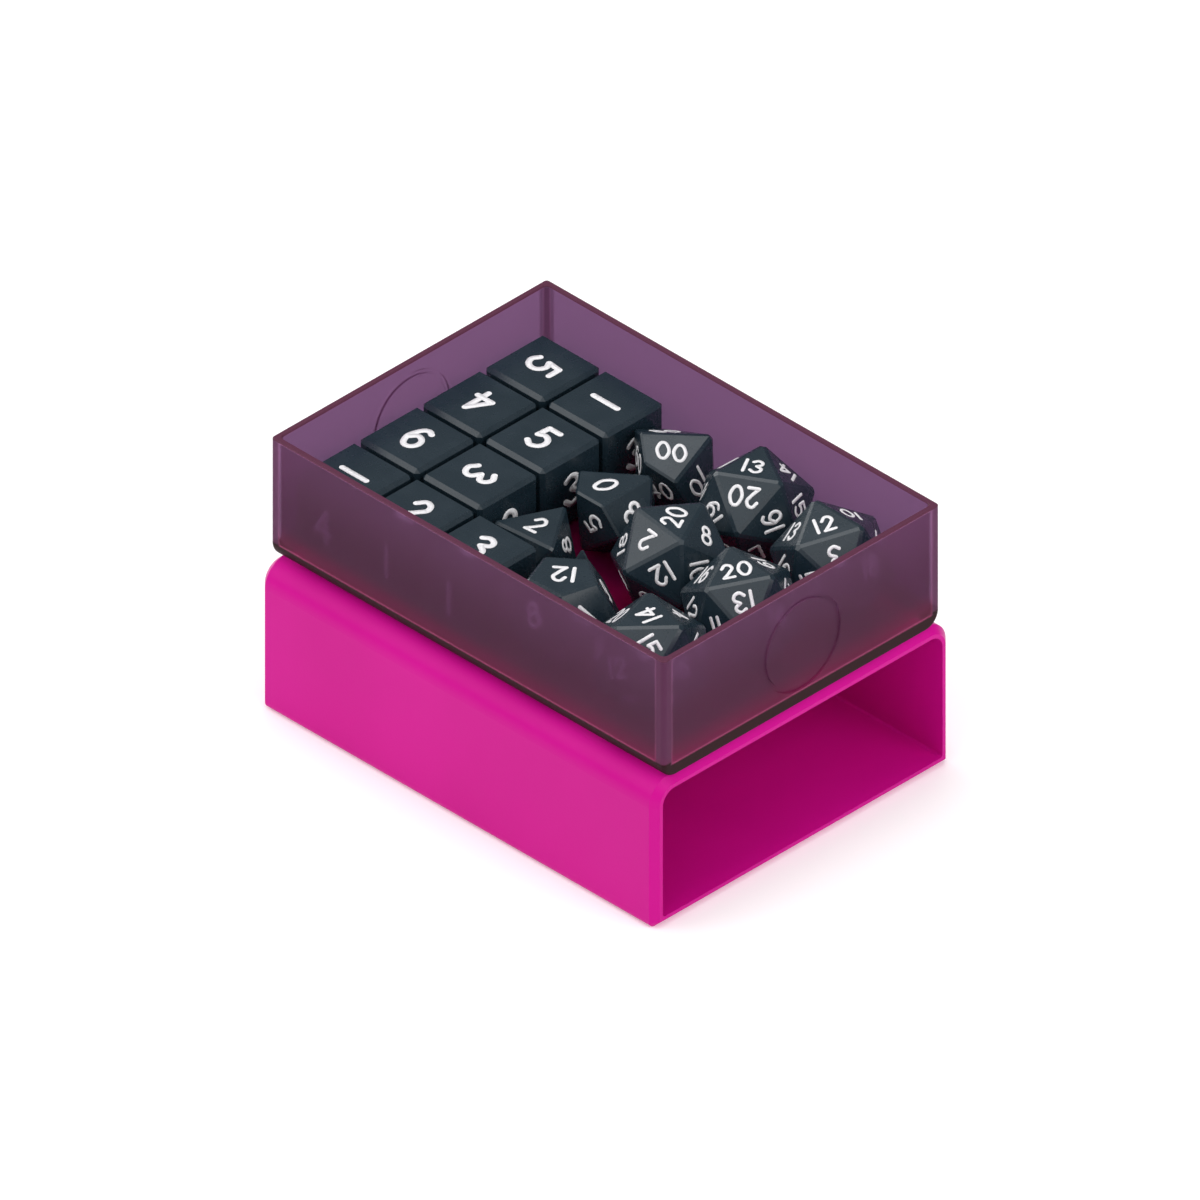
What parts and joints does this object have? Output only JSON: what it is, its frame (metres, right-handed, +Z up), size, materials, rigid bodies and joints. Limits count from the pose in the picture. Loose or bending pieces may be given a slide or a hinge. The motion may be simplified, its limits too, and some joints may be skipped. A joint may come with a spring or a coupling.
{
  "type": "dice box",
  "caption": "Sliding dice box: a magenta plastic sleeve with open ends, a frosted drawer tray that stands on it, and a set of loose numbered dice lying in the tray.",
  "frame": {"origin": "on the ground under the middle of the sleeve", "axes": "+X along the drawer's way, out of the sleeve's mouth; +Y across the box; +Z up"},
  "size_m": [0.1016, 0.0764, 0.0585],
  "materials": {
    "sleeve_plastic": "satin magenta plastic",
    "tray_plastic": "frosted, translucent smoky plum plastic",
    "dice_plastic": "dark slate plastic with white numbers"
  },
  "bodies": {
    "sleeve": {"sleeve": "sleeve_plastic"},
    "tray": {"tray": "tray_plastic"},
    "d6_die_1": {"d6_die_1": "dice_plastic"},
    "d6_die_2": {"d6_die_2": "dice_plastic"},
    "d6_die_3": {"d6_die_3": "dice_plastic"},
    "d6_die_4": {"d6_die_4": "dice_plastic"},
    "d6_die_5": {"d6_die_5": "dice_plastic"},
    "d6_die_6": {"d6_die_6": "dice_plastic"},
    "d6_die_7": {"d6_die_7": "dice_plastic"},
    "d6_die_8": {"d6_die_8": "dice_plastic"},
    "d6_die_9": {"d6_die_9": "dice_plastic"},
    "d10_die_tens": {"d10_die_tens": "dice_plastic"},
    "d10_die_units": {"d10_die_units": "dice_plastic"},
    "d8_die": {"d8_die": "dice_plastic"},
    "d4_die": {"d4_die": "dice_plastic"},
    "d12_die": {"d12_die": "dice_plastic"},
    "d20_die_1": {"d20_die_1": "dice_plastic"},
    "d20_die_2": {"d20_die_2": "dice_plastic"},
    "d20_die_3": {"d20_die_3": "dice_plastic"},
    "d20_die_4": {"d20_die_4": "dice_plastic"},
    "d20_die_5": {"d20_die_5": "dice_plastic"}
  },
  "joints": [
    {"name": "tray_lift", "type": "slide", "parent": "sleeve", "child": "tray", "axis": [0, 0, 1], "range_m": [0, 0.06]},
    {"name": "d6_die_1_lift", "type": "slide", "parent": "tray", "child": "d6_die_1", "axis": [0, 0, 1], "range_m": [0, 0.035]},
    {"name": "d6_die_2_lift", "type": "slide", "parent": "tray", "child": "d6_die_2", "axis": [0, 0, 1], "range_m": [0, 0.035]},
    {"name": "d6_die_3_lift", "type": "slide", "parent": "tray", "child": "d6_die_3", "axis": [0, 0, 1], "range_m": [0, 0.035]},
    {"name": "d6_die_4_lift", "type": "slide", "parent": "tray", "child": "d6_die_4", "axis": [0, 0, 1], "range_m": [0, 0.035]},
    {"name": "d6_die_5_lift", "type": "slide", "parent": "tray", "child": "d6_die_5", "axis": [0, 0, 1], "range_m": [0, 0.035]},
    {"name": "d6_die_6_lift", "type": "slide", "parent": "tray", "child": "d6_die_6", "axis": [0, 0, 1], "range_m": [0, 0.035]},
    {"name": "d6_die_7_lift", "type": "slide", "parent": "tray", "child": "d6_die_7", "axis": [0, 0, 1], "range_m": [0, 0.035]},
    {"name": "d6_die_8_lift", "type": "slide", "parent": "tray", "child": "d6_die_8", "axis": [0, 0, 1], "range_m": [0, 0.035]},
    {"name": "d6_die_9_lift", "type": "slide", "parent": "tray", "child": "d6_die_9", "axis": [0, 0, 1], "range_m": [0, 0.035]},
    {"name": "d10_die_tens_lift", "type": "slide", "parent": "tray", "child": "d10_die_tens", "axis": [0, 0, 1], "range_m": [0, 0.035]},
    {"name": "d10_die_units_lift", "type": "slide", "parent": "tray", "child": "d10_die_units", "axis": [0, 0, 1], "range_m": [0, 0.035]},
    {"name": "d8_die_lift", "type": "slide", "parent": "tray", "child": "d8_die", "axis": [0, 0, 1], "range_m": [0, 0.035]},
    {"name": "d4_die_lift", "type": "slide", "parent": "tray", "child": "d4_die", "axis": [0, 0, 1], "range_m": [0, 0.035]},
    {"name": "d12_die_lift", "type": "slide", "parent": "tray", "child": "d12_die", "axis": [0, 0, 1], "range_m": [0, 0.035]},
    {"name": "d20_die_1_lift", "type": "slide", "parent": "tray", "child": "d20_die_1", "axis": [0, 0, 1], "range_m": [0, 0.035]},
    {"name": "d20_die_2_lift", "type": "slide", "parent": "tray", "child": "d20_die_2", "axis": [0, 0, 1], "range_m": [0, 0.035]},
    {"name": "d20_die_3_lift", "type": "slide", "parent": "tray", "child": "d20_die_3", "axis": [0, 0, 1], "range_m": [0, 0.035]},
    {"name": "d20_die_4_lift", "type": "slide", "parent": "tray", "child": "d20_die_4", "axis": [0, 0, 1], "range_m": [0, 0.035]},
    {"name": "d20_die_5_lift", "type": "slide", "parent": "tray", "child": "d20_die_5", "axis": [0, 0, 1], "range_m": [0, 0.035]}
  ]
}
